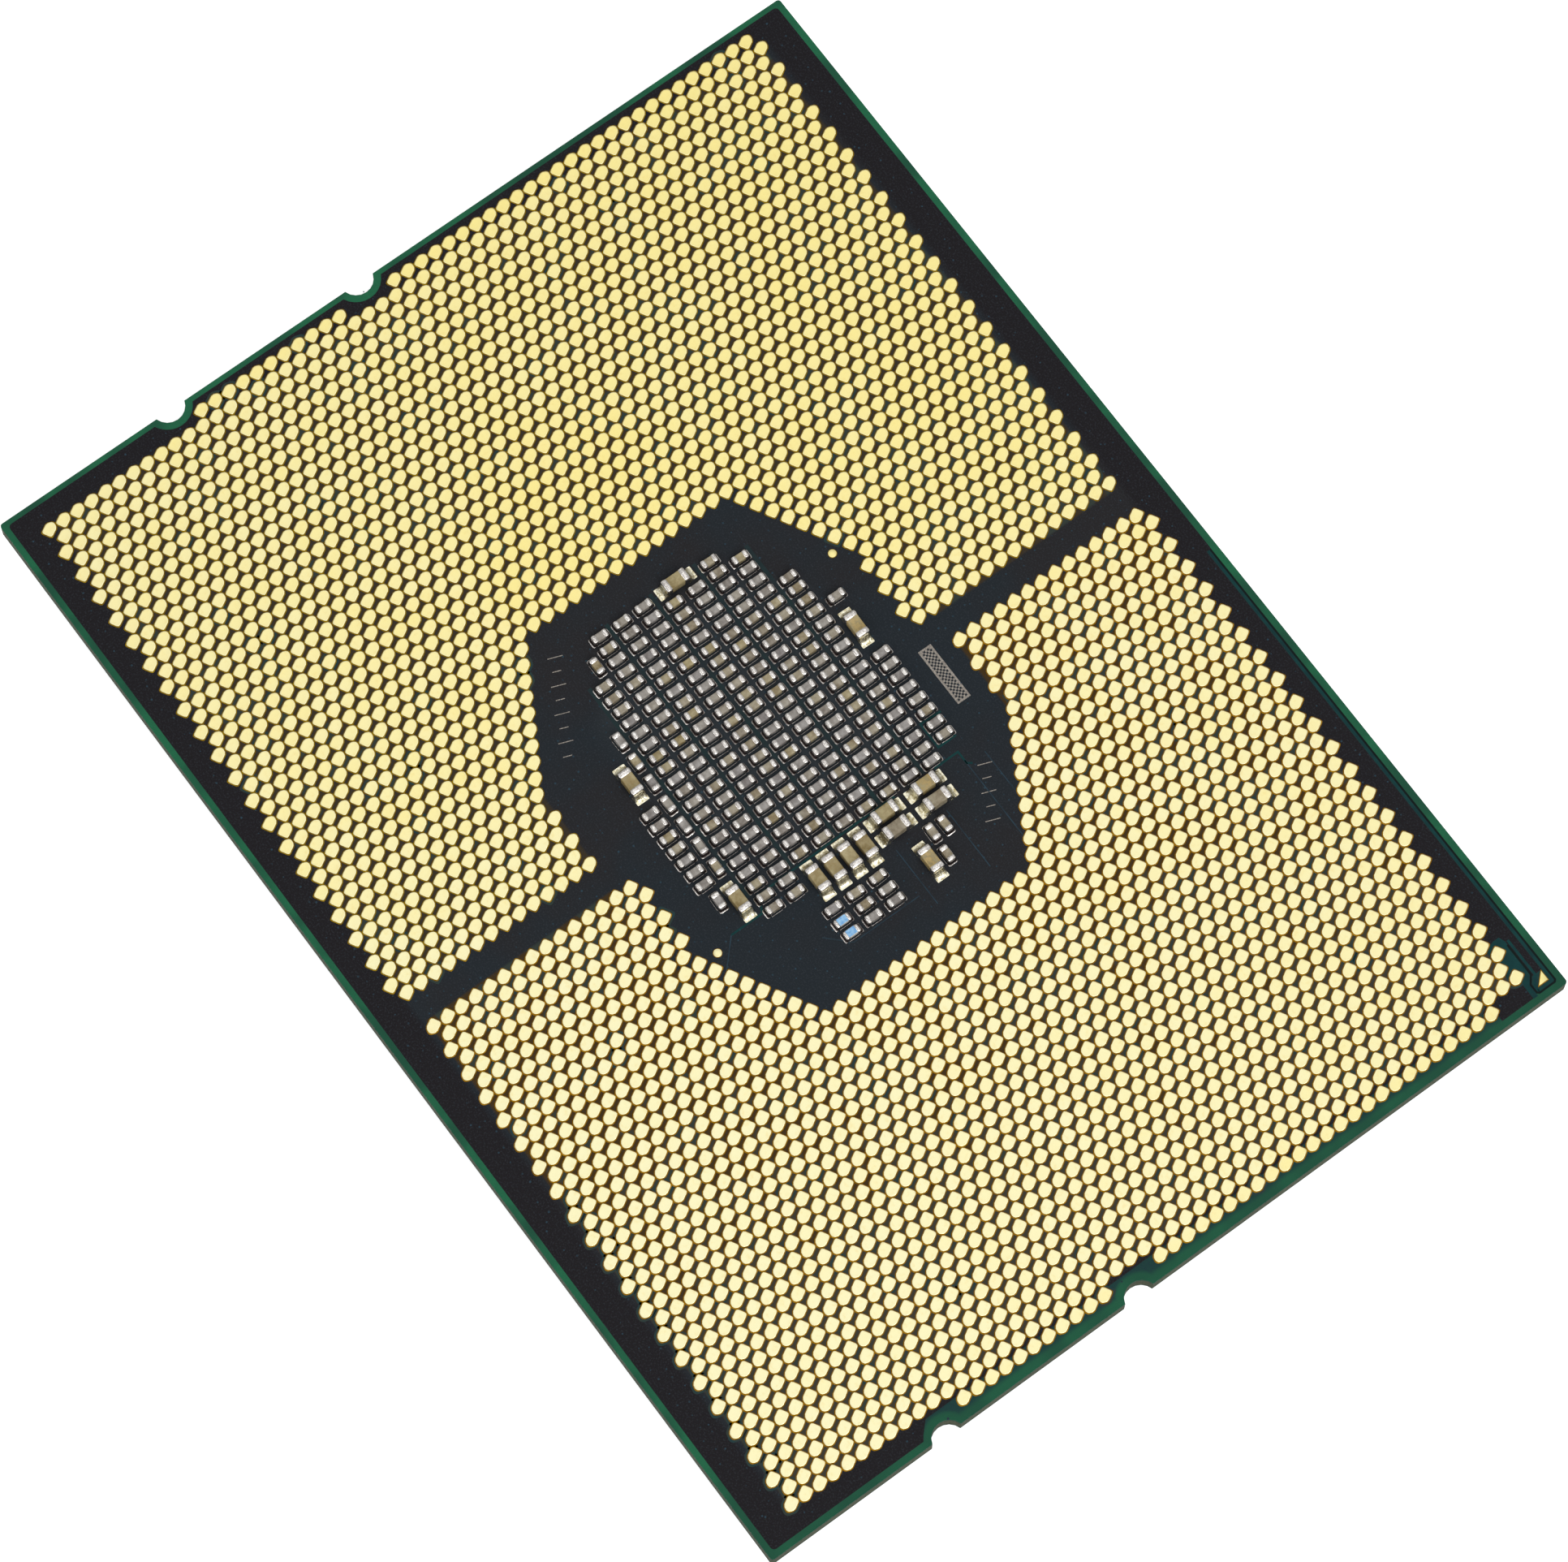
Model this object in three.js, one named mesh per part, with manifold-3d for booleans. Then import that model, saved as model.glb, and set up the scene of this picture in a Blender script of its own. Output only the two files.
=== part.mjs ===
// A land-grid-array processor package lying lid-down, so that its contact lands face up (+Z).
// Millimetres. The origin is the centre of the bounding box's bottom, on the lid's contact face.
// +X runs along the long edge towards the pin-one end, +Y towards the pin-one edge.
import * as THREE from "three";
import { mergeVertices } from "three/addons/utils/BufferGeometryUtils.js";
import Module from "manifold-3d";

const wasm = await Module();
wasm.setup();

// ---- driving dimensions ----

const packageLength = 76.0;
const packageWidth = 56.5;
const cornerRadius = 0.2;

// Keying notches: round cuts in both short edges, their centres just outside the edge.
const notchRadius = 1.03;
const notchCentreOffset = 0.28;
const notchHeights = [-16.1, -2.55];

// The stack, from the lid's contact face at z = 0 up to the lands.
const plateauStep = 1.05;
const lidFoot = 3.4;
const sealantThickness = 0.1;
const maskThickness = 0.02;
const buildupThickness = 0.18;
const coreThickness = 0.8;
const landThickness = 0.03;

const substrateBottom = lidFoot + sealantThickness;
const coreBottom = substrateBottom + maskThickness + buildupThickness;
const coreTop = coreBottom + coreThickness;
const buildupTop = coreTop + buildupThickness;
const landPlane = buildupTop + maskThickness;

// The die stack hangs from the substrate into the lid's cavity.
const dieSize = [32.2, 21.6];
const dieThickness = 0.78;
const bumpHeight = 0.075;
const bumpMargin = 0.35;
const interfaceThickness = 0.1;
const underfillReach = 1.3;
const underfillClimb = 0.45;
const dieTop = substrateBottom - bumpHeight;
const dieBottom = dieTop - dieThickness;
const cavityCeiling = dieBottom - interfaceThickness;

// The lid: a raised plateau, a broad rim and two narrower end wings.
const plateauSize = [50.0, 45.5];
const rimSize = [57.0, 49.0];
const wingSize = [70.0, 37.0];
const cavitySize = [48.0, 40.0];
const lidRadius = 2.0;
const plateauChamfer = 0.3;
const sealantSize = [55.6, 47.6];
const sealantWidth = 2.6;
const ventWidth = 3.0;

// Land lattice: columns along Y at a fixed spacing, alternate columns half a pitch out of step.
const landPitch = 0.9906;
const columnSpacing = 0.8585;
const halfPitch = landPitch / 2;
const columnCount = 43;
const middleRow = 52;
const lastRow = 104;
const fieldShift = 0.2477;
const landMargin = 0.44;
const shallowStop = 23;
const deepStop = 25;
const cavityColumns = 16;
const slopeStop = 32;

// Pin-one triangle and fiducials.
const pinMarkCorner = [37.23, 27.47];
const pinMarkLegs = [0.77, 0.79];
const fiducialPlace = [-7.8, 9.86];
const fiducialRadius = 0.28;

// Two-ended chips: [length, width, height] and the solder pads that they stand on.
const smallChip = [1.0, 0.5, 0.5];
const resistorChip = [1.0, 0.5, 0.35];
const largeChip = [1.6, 0.8, 0.8];
const largePad = [0.62, 0.82];
const largePadSpan = 2.6;
const padThickness = 0.04;
const stripMargin = 0.06;

// Small capacitors stand in rows: "#" is a capacitor and "." an empty place, north row first.
const chipColumnStart = -11.57;
const chipColumnPitch = 0.8705;
const chipRowStart = 8.44;
const chipRowPitch = 1.57;
const chipRows = [
  "............########...",
  "....#################..",
  ".####################..",
  "#####################..",
  ".####################..",
  ".####################..",
  "#####################..",
  "#####################..",
  "#######################",
  "...####################",
];
const southRow = { y: -8.12, from: 12, to: 18 };
const lyingRow = { x: -5.73, y: -6.93, pitch: 1.568, count: 7 };
const eastBlock = { x: 9.66, y: 0.17, pitchX: 0.86, pitchY: 1.585 };
const singleChips = {
  north: { x: chipColumnStart + 7 * chipColumnPitch, y: chipRowStart, lying: false },
  west: { x: -10.21, y: -5.32, lying: true },
  east_upper: { x: 9.36, y: 5.2, lying: true },
  east_middle: { x: 9.36, y: 4.32, lying: true },
  east_outer: { x: 10.9, y: 4.22, lying: true },
  south: { x: 5.4, y: -8.05, lying: true },
};
const largeChips = [
  { x: -3.3, y: 8.25, lying: true },
  { x: -11.7, y: 1.38, lying: false },
  { x: 6.83, y: 5.68, lying: false },
  { x: 7.96, y: 5.68, lying: false },
  { x: 6.83, y: 2.76, lying: false },
  { x: 7.96, y: 2.76, lying: false },
  { x: 7.73, y: 0.735, lying: true },
  { x: 7.73, y: -0.4, lying: true },
  { x: 7.73, y: -1.53, lying: true },
  { x: 7.73, y: -2.665, lying: true },
  { x: 10.64, y: 3.21, lying: true },
  { x: 6.04, y: -7.09, lying: true },
  { x: -3.3, y: -7.93, lying: true },
];

// Capacitors under the lid, in a row along each long side of the die.
const hiddenRow = { y: 15.6, pitch: 1.9, count: 14 };

// ---- materials ----

function finish(color, roughness, metalness) {
  return new THREE.MeshStandardMaterial({ color, roughness, metalness });
}

const finishes = {
  nickel: finish(0xb9b7b0, 0.32, 1.0),
  sealant: finish(0x2b2b2d, 0.7, 0.0),
  indium: finish(0x9fa2a6, 0.45, 0.9),
  silicon: finish(0x4a4f58, 0.15, 0.6),
  solder: finish(0xbfc1c2, 0.35, 0.9),
  epoxy: finish(0x2e3440, 0.5, 0.0),
  laminate: finish(0x8a7448, 0.7, 0.0),
  buildup: finish(0x3f5a3a, 0.6, 0.0),
  mask: finish(0x1d2a2b, 0.45, 0.0),
  gold: finish(0xf0dc94, 0.35, 1.0),
  ceramic: finish(0x8b8078, 0.55, 0.0),
  ceramicTan: finish(0x97854f, 0.55, 0.0),
  resistor: finish(0x7fb0d8, 0.35, 0.0),
};

// ---- geometry helpers ----

function part(name, geometry, material, z = 0) {
  const mesh = new THREE.Mesh(geometry, material);
  mesh.name = name;
  mesh.position.z = z;
  return mesh;
}

function solidOf(geometry) {
  const bare = geometry.clone();
  bare.deleteAttribute("normal");
  bare.deleteAttribute("uv");
  const merged = mergeVertices(bare);
  const vertProperties = Float32Array.from(merged.attributes.position.array);
  const triVerts = Uint32Array.from(merged.index.array);
  return new wasm.Manifold(new wasm.Mesh({ numProp: 3, vertProperties, triVerts }));
}

function geometryOf(solid) {
  const mesh = solid.getMesh();
  const geometry = new THREE.BufferGeometry();
  geometry.setAttribute("position", new THREE.BufferAttribute(Float32Array.from(mesh.vertProperties), 3));
  geometry.setIndex(new THREE.BufferAttribute(Uint32Array.from(mesh.triVerts), 1));
  geometry.computeVertexNormals();
  return geometry;
}

// A box standing on height z, with its plan centre at (x, y).
function block(sizeX, sizeY, sizeZ, x = 0, y = 0, z = 0) {
  const geometry = new THREE.BoxGeometry(sizeX, sizeY, sizeZ);
  return geometry.translate(x, y, z + sizeZ / 2);
}

function joined(geometries) {
  const solids = geometries.map(solidOf);
  return geometryOf(solids.reduce((whole, solid) => whole.add(solid)));
}

function slab(shape, thickness, curveSegments = 3) {
  return new THREE.ExtrudeGeometry(shape, { depth: thickness, bevelEnabled: false, curveSegments });
}

function roundedOutline([length, width], radius) {
  const x = length / 2;
  const y = width / 2;
  const shape = new THREE.Shape();
  shape.absarc(x - radius, y - radius, radius, 0, Math.PI / 2, false);
  shape.absarc(-x + radius, y - radius, radius, Math.PI / 2, Math.PI, false);
  shape.absarc(-x + radius, -y + radius, radius, Math.PI, 1.5 * Math.PI, false);
  shape.absarc(x - radius, -y + radius, radius, 1.5 * Math.PI, 2 * Math.PI, false);
  return shape;
}

// ---- substrate ----

// The package outline, counter-clockwise, with its four keying notches.
function packageOutline() {
  const x = packageLength / 2;
  const y = packageWidth / 2;
  const r = cornerRadius;
  const opening = Math.acos(notchCentreOffset / notchRadius);
  const shape = new THREE.Shape();
  shape.absarc(x - r, -y + r, r, 1.5 * Math.PI, 2 * Math.PI, false);
  for (const height of notchHeights) {
    shape.absarc(x + notchCentreOffset, height, notchRadius, Math.PI + opening, Math.PI - opening, true);
  }
  shape.absarc(x - r, y - r, r, 0, Math.PI / 2, false);
  shape.absarc(-x + r, y - r, r, Math.PI / 2, Math.PI, false);
  for (const height of [...notchHeights].reverse()) {
    shape.absarc(-x - notchCentreOffset, height, notchRadius, opening, -opening, true);
  }
  shape.absarc(-x + r, -y + r, r, Math.PI, 1.5 * Math.PI, false);
  return shape;
}

function substrate() {
  const layer = (thickness) => slab(packageOutline(), thickness, 4);
  return [
    part("solder_mask_die_side", layer(maskThickness), finishes.mask, substrateBottom),
    part("buildup_die_side", layer(buildupThickness), finishes.buildup, substrateBottom + maskThickness),
    part("substrate_core", layer(coreThickness), finishes.laminate, coreBottom),
    part("buildup_land_side", layer(buildupThickness), finishes.buildup, coreTop),
    part("solder_mask_land_side", layer(maskThickness), finishes.mask, buildupTop),
  ];
}

// ---- lands ----

// The outline of the west field, traced round its outermost lands; north and south arms hold the
// cavity between them. The east field is the same outline turned by half a turn.
function fieldOutline(outerRuns) {
  const column = (k) => -k * columnSpacing;
  const row = (r) => (r - middleRow) * halfPitch - fieldShift;
  const outerX = column(columnCount) - landMargin;
  const secondX = column(columnCount - 1) - landMargin;
  const slopeX = column(cavityColumns + 0.5);
  const slopeStart = slopeStop - cavityColumns - 0.5;
  const flatX = (stop) => column(slopeStop - stop);
  const shape = new THREE.Shape();
  shape.moveTo(secondX, row(0) - landMargin);
  shape.lineTo(column(1) + landMargin, row(0) - landMargin);
  shape.lineTo(column(1) + landMargin, row(middleRow - deepStop) + landMargin);
  shape.lineTo(flatX(deepStop), row(middleRow - deepStop) + landMargin);
  shape.lineTo(slopeX, row(middleRow - slopeStart) + landMargin);
  shape.lineTo(slopeX, row(middleRow + slopeStart) - landMargin);
  shape.lineTo(flatX(shallowStop), row(middleRow + shallowStop) - landMargin);
  shape.lineTo(column(2) + landMargin, row(middleRow + shallowStop) - landMargin);
  shape.lineTo(column(2) + landMargin, row(lastRow) + landMargin);
  shape.lineTo(secondX, row(lastRow) + landMargin);
  for (const [from, to] of outerRuns) {
    shape.lineTo(secondX, row(from) + landMargin);
    shape.lineTo(outerX, row(from) + landMargin);
    shape.lineTo(outerX, row(to) - landMargin);
    shape.lineTo(secondX, row(to) - landMargin);
  }
  return shape;
}

// The outermost column misses some lands beside the keying notches and the pin-one corner.
const westRuns = [
  [103, 51],
  [43, 23],
];
const eastRuns = [
  [81, 61],
  [53, 5],
];

function lands() {
  const west = slab(fieldOutline(westRuns), landThickness);
  const east = slab(fieldOutline(eastRuns), landThickness).rotateZ(Math.PI);
  return [
    part("land_field_west", west, finishes.gold, landPlane),
    part("land_field_east", east, finishes.gold, landPlane),
  ];
}

function marks() {
  const [x, y] = pinMarkCorner;
  const triangle = new THREE.Shape();
  triangle.moveTo(x, y);
  triangle.lineTo(x - pinMarkLegs[0], y);
  triangle.lineTo(x, y - pinMarkLegs[1]);
  const disc = (side) => {
    const geometry = new THREE.CylinderGeometry(fiducialRadius, fiducialRadius, landThickness, 16);
    geometry.rotateX(Math.PI / 2);
    return geometry.translate(side * fiducialPlace[0], side * fiducialPlace[1], landThickness / 2);
  };
  return [
    part("pin_one_mark", slab(triangle, landThickness), finishes.gold, landPlane),
    part("fiducial_northwest", disc(1), finishes.gold, landPlane),
    part("fiducial_southeast", disc(-1), finishes.gold, landPlane),
  ];
}

// ---- two-ended chips on the land side ----

function chip([length, width, height], x, y, lying) {
  const [sizeX, sizeY] = lying ? [length, width] : [width, length];
  return block(sizeX, sizeY, height, x, y, 0);
}

// A row of chips joined by the thin solder strip that their pads make.
function chipRow(size, places, lying) {
  const xs = places.map(([x]) => x);
  const y = places[0][1];
  const [sizeX, sizeY] = lying ? [size[0], size[1]] : [size[1], size[0]];
  const left = Math.min(...xs) - sizeX / 2 - stripMargin;
  const right = Math.max(...xs) + sizeX / 2 + stripMargin;
  const strip = block(right - left, sizeY + 2 * stripMargin, padThickness, (left + right) / 2, y);
  return joined([strip, ...places.map(([x]) => chip(size, x, y, lying))]);
}

function smallCapacitors() {
  const column = (k) => chipColumnStart + k * chipColumnPitch;
  const parts = [];
  const add = (name, places, lying, size = smallChip, material = finishes.ceramic) => {
    parts.push(part(name, chipRow(size, places, lying), material, landPlane));
  };
  chipRows.forEach((map, index) => {
    const y = chipRowStart - index * chipRowPitch;
    const places = [...map].flatMap((mark, k) => (mark === "#" ? [[column(k), y]] : []));
    add(`capacitor_row_${String(index + 1).padStart(2, "0")}`, places, false);
  });
  const lying = Array.from({ length: lyingRow.count }, (_, i) => [lyingRow.x + i * lyingRow.pitch, lyingRow.y]);
  add("capacitor_row_11_lying", lying, true);
  const south = [];
  for (let k = southRow.from; k <= southRow.to; k += 1) {
    south.push([column(k), southRow.y]);
  }
  add("capacitor_row_12", south, false);
  for (const [name, { x, y, lying: flat }] of Object.entries(singleChips)) {
    add(`capacitor_${name}`, [[x, y]], flat);
  }
  const block3 = (i, j) => [eastBlock.x + i * eastBlock.pitchX, eastBlock.y - j * eastBlock.pitchY];
  add("capacitor_block_row_1", [block3(0, 0), block3(1, 0), block3(2, 0)], false);
  add("capacitor_block_row_2", [block3(0, 1), block3(1, 1), block3(2, 1)], false);
  add("capacitor_block_row_3", [block3(0, 2)], false);
  add("resistor_inner", [block3(1, 2)], false, resistorChip, finishes.resistor);
  add("resistor_outer", [block3(2, 2)], false, resistorChip, finishes.resistor);
  return parts;
}

// A large capacitor with the two solder pads that reach past its ends.
function largeCapacitor({ x, y, lying }) {
  const reach = (largePadSpan - largePad[0]) / 2;
  const [padX, padY] = lying ? largePad : [largePad[1], largePad[0]];
  const pads = [-reach, reach].map((along) =>
    block(padX, padY, padThickness, x + (lying ? along : 0), y + (lying ? 0 : along)),
  );
  return joined([chip(largeChip, x, y, lying), ...pads]);
}

function largeCapacitors() {
  return largeChips.map((place, index) => {
    const name = `large_capacitor_${String(index + 1).padStart(2, "0")}`;
    return part(name, largeCapacitor(place), finishes.ceramicTan, landPlane);
  });
}

// ---- die stack and lid ----

// A block that narrows from its substrate end (top) to its lower end.
function taperedBlock(upper, lower, height) {
  const geometry = new THREE.BoxGeometry(1, 1, height).translate(0, 0, height / 2);
  const points = geometry.attributes.position;
  for (let i = 0; i < points.count; i += 1) {
    const [length, width] = points.getZ(i) > height / 2 ? upper : lower;
    points.setXY(i, points.getX(i) * length, points.getY(i) * width);
  }
  return geometry;
}

function dieStack() {
  const grown = (by) => dieSize.map((size) => size + 2 * by);
  const bumpSize = grown(-bumpMargin);
  const fillet = solidOf(taperedBlock(grown(underfillReach), grown(0.1), underfillClimb));
  const dieInFillet = underfillClimb - bumpHeight;
  const diePocket = solidOf(block(...dieSize, dieInFillet + 1, 0, 0, -1));
  const bumpPocket = solidOf(block(...bumpSize, bumpHeight + 1, 0, 0, dieInFillet));
  const underfill = geometryOf(fillet.subtract(diePocket).subtract(bumpPocket));
  return [
    part("thermal_interface", block(...dieSize, interfaceThickness), finishes.indium, cavityCeiling),
    part("silicon_die", block(...dieSize, dieThickness), finishes.silicon, dieBottom),
    part("solder_bump_layer", block(...bumpSize, bumpHeight), finishes.solder, dieTop),
    part("underfill", underfill, finishes.epoxy, substrateBottom - underfillClimb),
  ];
}

function hiddenCapacitors() {
  const row = (side) => {
    const first = (-(hiddenRow.count - 1) / 2) * hiddenRow.pitch;
    const xs = Array.from({ length: hiddenRow.count }, (_, i) => first + i * hiddenRow.pitch);
    const length = xs[xs.length - 1] - xs[0] + smallChip[0] + 2 * stripMargin;
    const y = side * hiddenRow.y;
    const strip = block(length, smallChip[1] + 2 * stripMargin, padThickness, 0, y, smallChip[2] - padThickness);
    return joined([strip, ...xs.map((x) => chip(smallChip, x, y, true))]);
  };
  const z = substrateBottom - smallChip[2];
  return [
    part("die_side_capacitors_north", row(1), finishes.ceramic, z),
    part("die_side_capacitors_south", row(-1), finishes.ceramic, z),
  ];
}

function heatSpreader() {
  const plateauShape = roundedOutline(plateauSize.map((size) => size - 2 * plateauChamfer), lidRadius);
  const plateau = new THREE.ExtrudeGeometry(plateauShape, {
    depth: plateauStep,
    bevelThickness: plateauChamfer,
    bevelSize: plateauChamfer,
    bevelSegments: 1,
    curveSegments: 3,
  });
  plateau.translate(0, 0, plateauChamfer);
  const rim = slab(roundedOutline(rimSize, lidRadius), lidFoot - plateauStep);
  const wings = slab(roundedOutline(wingSize, lidRadius), lidFoot - plateauStep);
  const cavity = slab(roundedOutline(cavitySize, lidRadius), lidFoot);
  const base = [rim, wings].map((geometry) => solidOf(geometry.translate(0, 0, plateauStep)));
  const lid = base[0].add(base[1]).add(solidOf(plateau));
  return geometryOf(lid.subtract(solidOf(cavity.translate(0, 0, cavityCeiling))));
}

// The adhesive bead between lid and substrate, left open at one side as a vent.
function sealant() {
  const outer = solidOf(slab(roundedOutline(sealantSize, lidRadius), sealantThickness));
  const innerSize = sealantSize.map((size) => size - 2 * sealantWidth);
  const inner = solidOf(block(...innerSize, 1, 0, 0, -0.5));
  const vent = solidOf(block(sealantSize[0], ventWidth, 1, sealantSize[0] / 2, 0, -0.5));
  return geometryOf(outer.subtract(inner).subtract(vent));
}

// ---- assembly ----

const processor = new THREE.Group();
processor.add(
  part("heat_spreader", heatSpreader(), finishes.nickel),
  part("lid_sealant", sealant(), finishes.sealant, lidFoot),
  ...dieStack(),
  ...hiddenCapacitors(),
  ...substrate(),
  ...lands(),
  ...marks(),
  ...smallCapacitors(),
  ...largeCapacitors(),
);

export default processor;
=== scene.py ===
import math
import random

import bpy
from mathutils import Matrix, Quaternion, Vector


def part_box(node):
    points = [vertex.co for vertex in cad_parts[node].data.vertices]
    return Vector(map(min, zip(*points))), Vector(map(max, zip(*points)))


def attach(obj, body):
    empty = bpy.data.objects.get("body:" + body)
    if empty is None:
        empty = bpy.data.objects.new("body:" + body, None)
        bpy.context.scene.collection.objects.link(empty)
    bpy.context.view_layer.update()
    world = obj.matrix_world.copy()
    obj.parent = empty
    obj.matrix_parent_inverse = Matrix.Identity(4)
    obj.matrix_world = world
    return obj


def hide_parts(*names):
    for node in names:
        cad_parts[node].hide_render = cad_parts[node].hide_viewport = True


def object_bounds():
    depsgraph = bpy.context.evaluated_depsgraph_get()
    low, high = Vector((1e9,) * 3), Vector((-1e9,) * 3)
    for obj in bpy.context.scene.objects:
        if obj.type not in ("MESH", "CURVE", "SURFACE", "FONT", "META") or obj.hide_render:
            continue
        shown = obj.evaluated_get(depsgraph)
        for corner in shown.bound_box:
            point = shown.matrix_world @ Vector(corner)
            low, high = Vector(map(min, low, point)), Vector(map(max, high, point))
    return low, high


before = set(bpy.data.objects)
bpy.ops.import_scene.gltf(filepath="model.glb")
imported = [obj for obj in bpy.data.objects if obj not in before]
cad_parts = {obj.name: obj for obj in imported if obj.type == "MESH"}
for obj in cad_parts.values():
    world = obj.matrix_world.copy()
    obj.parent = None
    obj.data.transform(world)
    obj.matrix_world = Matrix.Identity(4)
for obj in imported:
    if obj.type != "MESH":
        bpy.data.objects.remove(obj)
cadLow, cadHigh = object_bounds()
print("frame loaded with", len(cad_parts), "nodes")

mm = 0.001  # everything below is worked out in millimetres and scaled as it becomes a mesh


def nodeBox(node):
    low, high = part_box(node)
    return low / mm, high / mm


# The package's own places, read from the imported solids.
maskLow, maskHigh = nodeBox("solder_mask_land_side")
landPlane = maskHigh.z
maskBase = landPlane - 0.001  # thin pieces start just inside the mask
packageX = maskHigh.x
packageY = maskHigh.y

cameraSetup = {
    "lens": 157.47,
    "sensor": 36.0,
    "distance": 395.5,
    "elevation": 72.22,
    "azimuth": -36.97,
    "roll": 0.594,
    "aim": (1.73, -0.67),  # on the land plane
}


def makeCamera(setup):
    data = bpy.data.cameras.new("camera")
    data.lens = setup["lens"]
    data.sensor_width = setup["sensor"]
    data.clip_start = 0.01
    camera = bpy.data.objects.new("camera", data)
    bpy.context.scene.collection.objects.link(camera)
    up = math.radians(setup["elevation"])
    side = math.radians(setup["azimuth"])
    back = Vector((math.cos(side) * math.cos(up), math.sin(side) * math.cos(up), math.sin(up)))
    aim = Vector((*setup["aim"], landPlane))
    camera.location = (aim + back * setup["distance"]) * mm
    camera.rotation_mode = "QUATERNION"
    roll = Quaternion((0, 0, 1), math.radians(setup["roll"]))
    camera.rotation_quaternion = (-back).to_track_quat("-Z", "Y") @ roll
    bpy.context.scene.camera = camera


makeCamera(cameraSetup)
print("camera placed")

def rgb(red, green, blue):
    # a colour as a screen shows it, 0 to 255, turned into the linear one that shaders use
    def linear(value):
        share = value / 255
        return share / 12.92 if share <= 0.04045 else ((share + 0.055) / 1.055) ** 2.4

    return (linear(red), linear(green), linear(blue), 1.0)


class Wire:
    # one output socket, so that shader maths reads as Python
    def __init__(self, finish, socket):
        self.finish = finish
        self.socket = socket

    def maths(self, operation, first, second=None):
        values = {0: first}
        if second is not None:
            values[1] = second
        return self.finish.node("ShaderNodeMath", {"operation": operation}, values)

    def __add__(self, other):
        return self.maths("ADD", self, other)

    def __radd__(self, other):
        return self.maths("ADD", other, self)

    def __sub__(self, other):
        return self.maths("SUBTRACT", self, other)

    def __rsub__(self, other):
        return self.maths("SUBTRACT", other, self)

    def __mul__(self, other):
        return self.maths("MULTIPLY", self, other)

    def __rmul__(self, other):
        return self.maths("MULTIPLY", other, self)

    def __truediv__(self, other):
        return self.maths("DIVIDE", self, other)

    def __rtruediv__(self, other):
        return self.maths("DIVIDE", other, self)

    def __abs__(self):
        return self.maths("ABSOLUTE", self)

    def least(self, other):
        return self.maths("MINIMUM", self, other)

    def most(self, other):
        return self.maths("MAXIMUM", self, other)

    def soft(self, start, end):
        # 0 before start, 1 after end, smooth in between
        settings = {"interpolation_type": "SMOOTHSTEP"}
        return self.finish.node(
            "ShaderNodeMapRange", settings, {"Value": self, "From Min": start, "From Max": end}
        )


class Finish:
    # one material, or the world, with the nodes that its look is made of
    def __init__(self, name, world=None):
        self.material = world or bpy.data.materials.new(name)
        self.material.use_nodes = True
        self.tree = self.material.node_tree
        self.tree.nodes.clear()

    def node(self, kind, settings=None, sockets=None, output=0):
        made = self.tree.nodes.new(kind)
        for key, value in (settings or {}).items():
            setattr(made, key, value)
        for key, value in (sockets or {}).items():
            if isinstance(value, Wire):
                self.tree.links.new(value.socket, made.inputs[key])
            else:
                made.inputs[key].default_value = value
        return Wire(self, made.outputs[output]) if made.outputs else None

    def place(self):
        # where a point of the object is, in millimetres
        here = self.node("ShaderNodeTexCoord", output="Object")
        return self.node("ShaderNodeVectorMath", {"operation": "SCALE"}, {0: here, "Scale": 1 / mm})

    def axes(self, place):
        return [self.node("ShaderNodeSeparateXYZ", None, {0: place}, output) for output in range(3)]

    def noise(self, place, size, detail=3.0, roughness=0.55, stretch=None):
        # size is about how far apart the blotches are, in millimetres
        if stretch:
            settings = {"operation": "MULTIPLY"}
            place = self.node("ShaderNodeVectorMath", settings, {0: place, 1: stretch})
        values = {"Vector": place, "Scale": 1 / size, "Detail": detail, "Roughness": roughness}
        return self.node("ShaderNodeTexNoise", {"noise_dimensions": "3D"}, values, "Fac")

    def mix(self, factor, low, high):
        return self.node("ShaderNodeMix", {"data_type": "RGBA"}, {0: factor, 6: low, 7: high}, 2)

    def tone(self):
        # the number that each point of a mesh carries
        return self.node("ShaderNodeAttribute", {"attribute_name": "tone"}, output="Fac")

    def bump(self, height, depth, strength=1.0):
        values = {"Height": height, "Distance": depth * mm, "Strength": strength}
        return self.node("ShaderNodeBump", None, values)

    def surface(self, **values):
        # values name the shader's own sockets, with _ for a space
        sockets = {key.replace("_", " "): value for key, value in values.items()}
        shader = self.node("ShaderNodeBsdfPrincipled", None, sockets)
        self.node("ShaderNodeOutputMaterial", None, {"Surface": shader})
        return self.material


goldLook = {
    # the two ends of the gold's painted reflection tint, warm and pale, and its darker random spots
    "warm": rgb(248, 232, 150),
    "pale": rgb(246, 240, 193),
    "spot": rgb(238, 214, 132),
    # a pale painted highlight along the raised rim of each land
    "rim": rgb(255, 249, 200),
    # the sides of the lands, brown painted shade in place of shining gold, a little apart west and east,
    # with darker brown for deeper painted shade
    "edgeWest": rgb(150, 120, 2),
    "edgeEast": rgb(160, 116, 0),
    "edgeDark": rgb(94, 64, 0),
    "roughness": 0.34,
    "heart": (-18, -1),  # middle of the warmer area of painted reflection
    "heartReach": 9,
}


def paintedReflectionTint(finish, place, look):
    # painted reflection: the gold is warm to the north-west and paler east and south, with one warmer area
    x, y, _ = finish.axes(place)
    slope = 0.32 + x.soft(-14.0, 10.0) * 0.42 - y * 0.0065
    warmReflectionArea = spotAt(x, y, look["heart"], look["heartReach"]) * 0.22
    # the outermost columns are warmer, also painted reflection
    outermost = abs(x).soft(36.2, 36.9) * 0.2
    return slope - warmReflectionArea - outermost


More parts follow.
